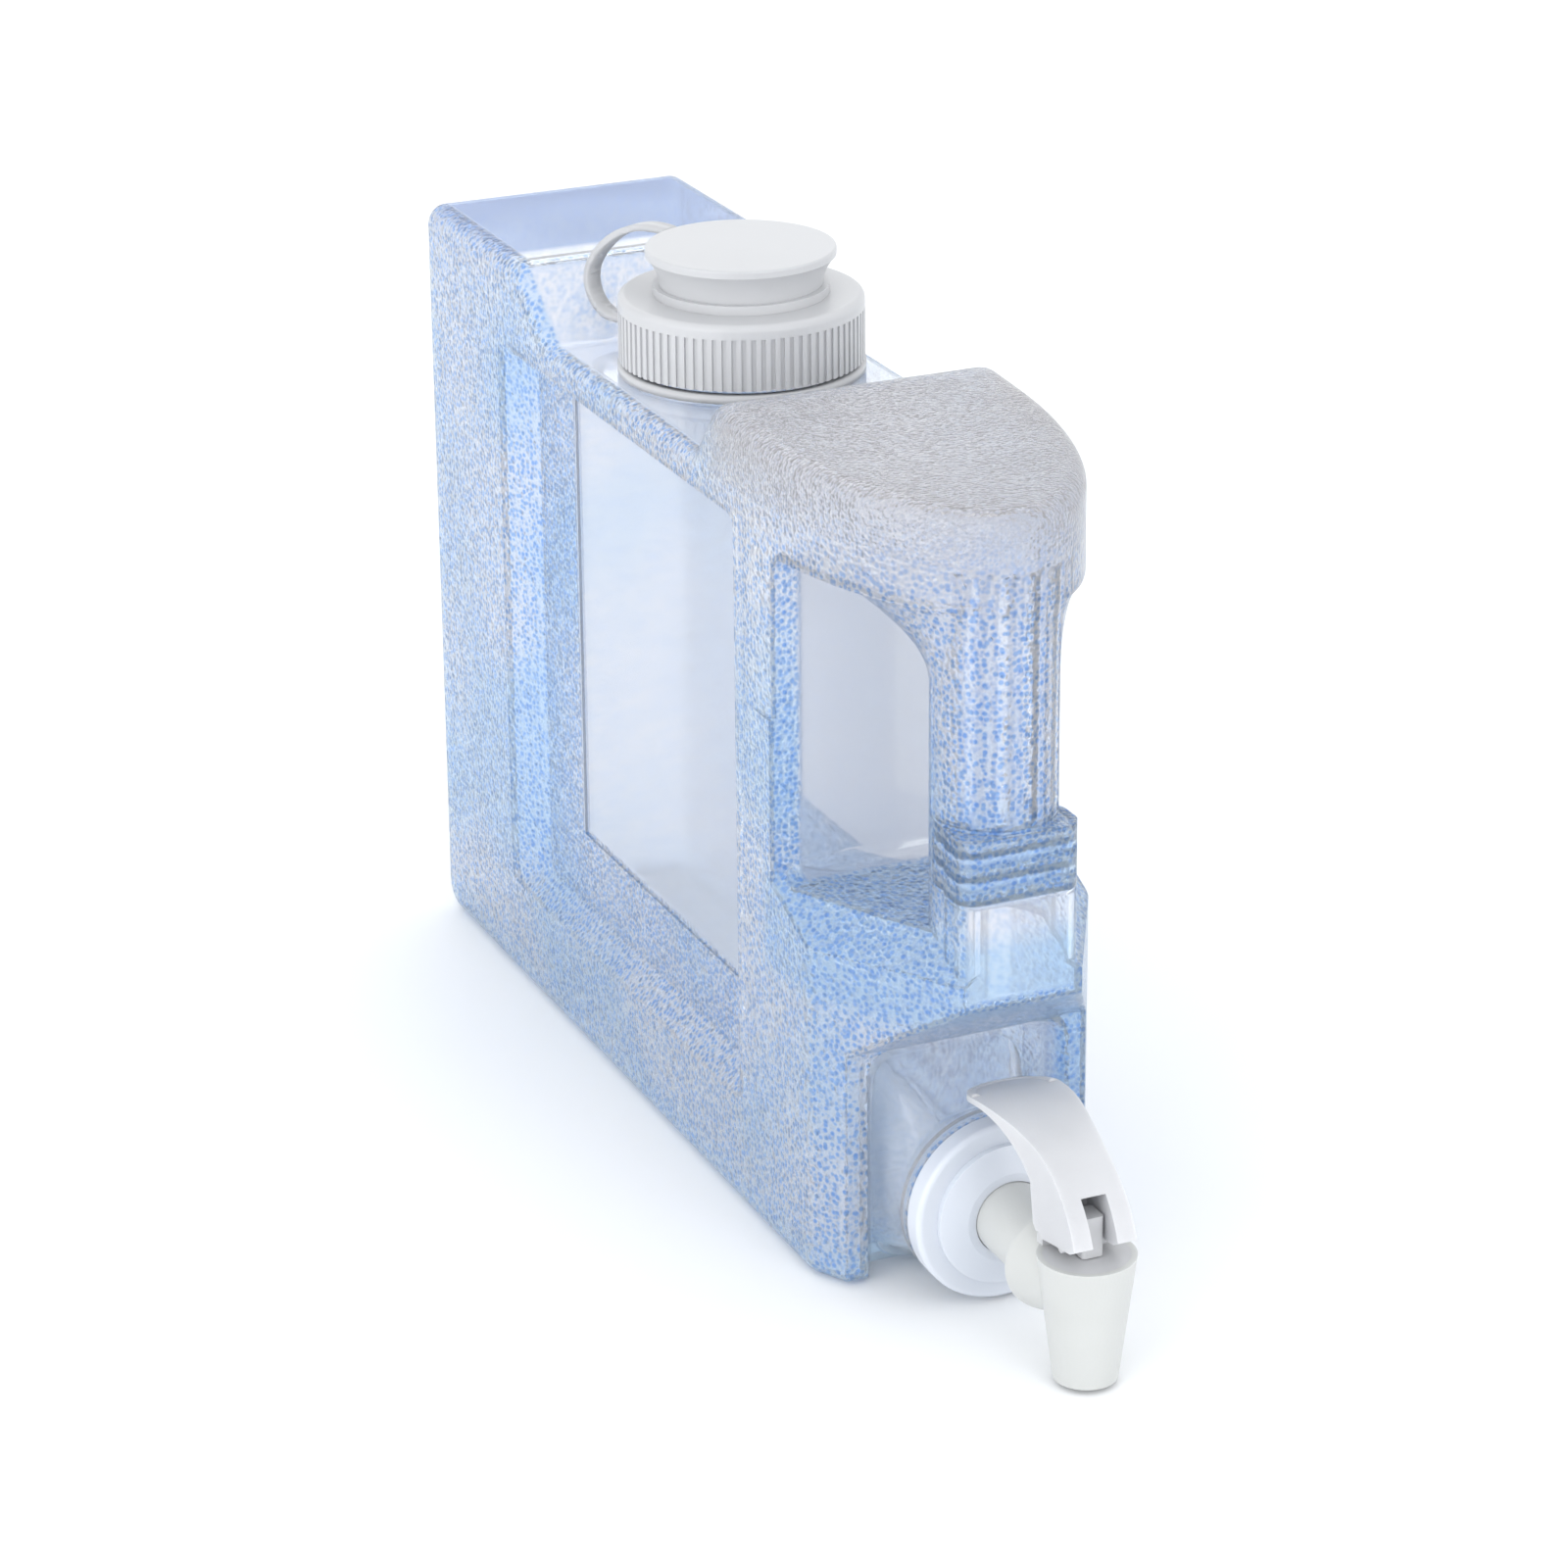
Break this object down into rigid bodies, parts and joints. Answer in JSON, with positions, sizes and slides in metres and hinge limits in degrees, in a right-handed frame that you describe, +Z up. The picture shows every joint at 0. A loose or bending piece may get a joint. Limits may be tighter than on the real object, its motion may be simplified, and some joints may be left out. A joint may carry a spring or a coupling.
{
  "type": "water dispenser container",
  "caption": "Slim clear blue refrigerator water container with a carrying grip, a screw collar with a tethered stopper, and a white push-lever tap.",
  "frame": {"origin": "middle of the whole footprint, on the surface it stands on", "axes": "+Z up, -Y towards the tap, +X to the right of someone who faces the tap's front from inside the container's back"},
  "size_m": [0.082, 0.3668, 0.244],
  "materials": {
    "clear_blue": "blue-tinted clear blow-moulded plastic, coarse pebble grain outside, smooth panels",
    "white_gloss": "white injection-moulded plastic, satin gloss",
    "milky_lever": "milky natural plastic with a fine bead-blasted grain",
    "seal_rubber": "soft pale silicone rubber"
  },
  "bodies": {
    "container": {"bottle": "clear_blue", "tap_gasket": "seal_rubber", "coupling_nut": "white_gloss", "tap_body": "white_gloss", "seat_cup": "seal_rubber", "gland_cap": "white_gloss"},
    "cap_seat": {"collar_liner": "seal_rubber", "tether": "white_gloss"},
    "collar": {"screw_collar": "white_gloss"},
    "stopper": {"stopper": "white_gloss"},
    "lever": {"lever": "milky_lever"},
    "stem": {"valve_stem": "white_gloss"}
  },
  "joints": [
    {"name": "collar_lift", "type": "slide", "parent": "container", "child": "cap_seat", "axis": [0, 0, 1], "range_m": [0, 0.0151], "stiffness_N_per_m": 0.5, "springref_m": 0.94},
    {"name": "collar_turn", "type": "hinge", "parent": "cap_seat", "child": "collar", "pos_m": [0, 0.0409, 0.2125], "axis": [0, 0, 1], "range_deg": [0, 900]},
    {"name": "stopper_lift", "type": "slide", "parent": "cap_seat", "child": "stopper", "axis": [0, 0, 1], "range_m": [0, 0.02], "deforming": ["tether"]},
    {"name": "lever_press", "type": "hinge", "parent": "container", "child": "lever", "pos_m": [0, -0.1611, 0.0378], "axis": [-1, 0, 0], "range_deg": [0, 8], "stiffness_Nm_per_rad": 0.3, "springref_deg": -17.19},
    {"name": "stem_lift", "type": "slide", "parent": "container", "child": "stem", "axis": [0, 0, 1], "range_m": [0, 0.0014], "stiffness_N_per_m": 0.1, "springref_m": 0.104, "deforming": ["seat_cup"]}
  ],
  "couplings": [
    {"joint": "collar_lift", "follows": "collar_turn", "m_per_rad": 0.00095493},
    {"joint": "stem_lift", "follows": "lever_press", "m_per_rad": 0.0095}
  ]
}
